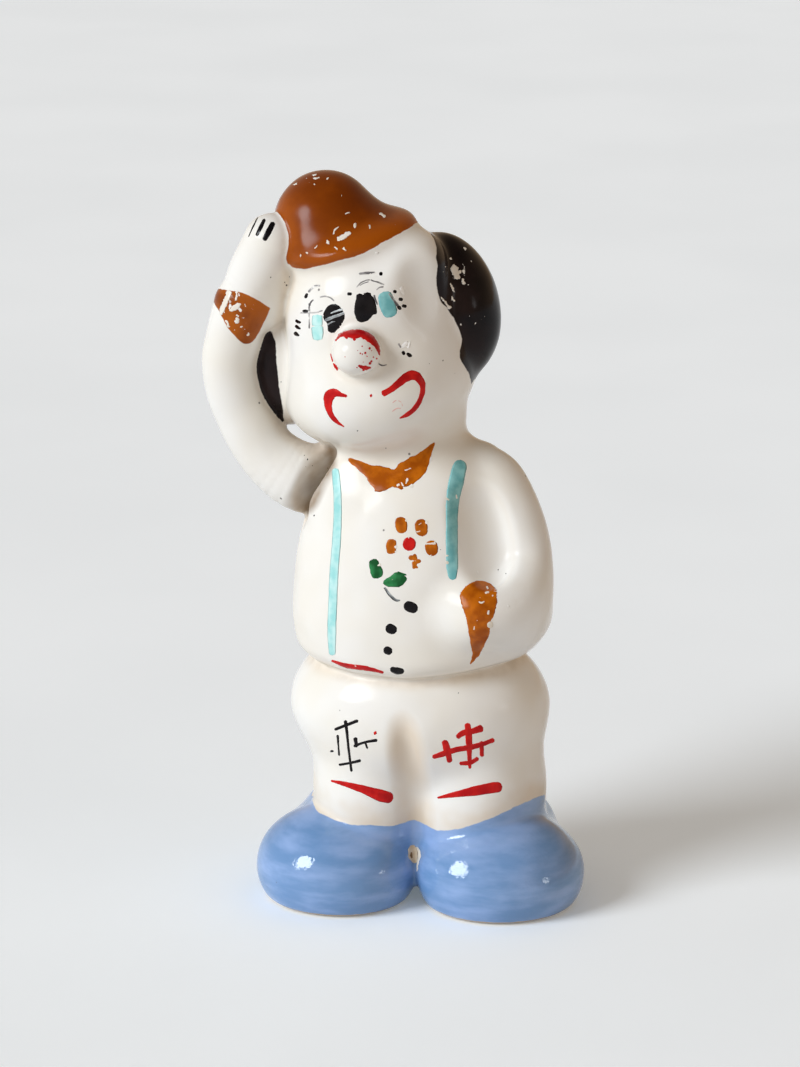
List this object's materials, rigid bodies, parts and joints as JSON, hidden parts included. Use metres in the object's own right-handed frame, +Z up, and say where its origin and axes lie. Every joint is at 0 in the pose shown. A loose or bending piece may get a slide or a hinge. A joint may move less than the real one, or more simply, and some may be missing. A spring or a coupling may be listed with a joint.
{
  "type": "clown figurine",
  "caption": "Standing glazed ceramic clown with round shoes, one hand raised to its tilted hat and the other at its pocket; an ornament that stands on its flat soles.",
  "frame": {"origin": "on the floor under the middle of the figure's bounding box", "axes": "+Z up, -Y the way the figure faces, -X towards its raised arm"},
  "size_m": [0.0422, 0.0242, 0.0799],
  "materials": {
    "cream_glaze": "glossy cream glaze with small specks",
    "blue_glaze": "glossy blue glaze, brushed on thinly over the cream",
    "brown_enamel": "glossy caramel brown enamel, worn at its edges",
    "black_enamel": "glossy black enamel, chipped at its edges",
    "red_enamel": "red enamel brush strokes, worn",
    "teal_enamel": "pale teal enamel brush strokes",
    "green_enamel": "dark green enamel brush strokes",
    "bare_clay": "matt unglazed clay"
  },
  "bodies": {
    "root": {"shoe_right": "blue_glaze", "shoe_left": "blue_glaze", "ankle_slip_right": "bare_clay", "ankle_slip_left": "bare_clay", "trousers": "cream_glaze", "waist_slip": "bare_clay", "shirt": "cream_glaze", "neck_slip": "bare_clay", "head": "cream_glaze", "nose_slip": "bare_clay", "nose": "cream_glaze", "hair_slip_right": "bare_clay", "hair_right": "black_enamel", "hair_slip_left": "bare_clay", "hair_left": "black_enamel", "hat_slip": "bare_clay", "hat": "brown_enamel", "shoulder_slip": "bare_clay", "raised_sleeve": "cream_glaze", "wrist_slip": "bare_clay", "raised_glove": "cream_glaze", "glove_slip": "bare_clay", "pocket_arm_slip": "bare_clay", "pocket_arm": "cream_glaze"}
  },
  "joints": []
}
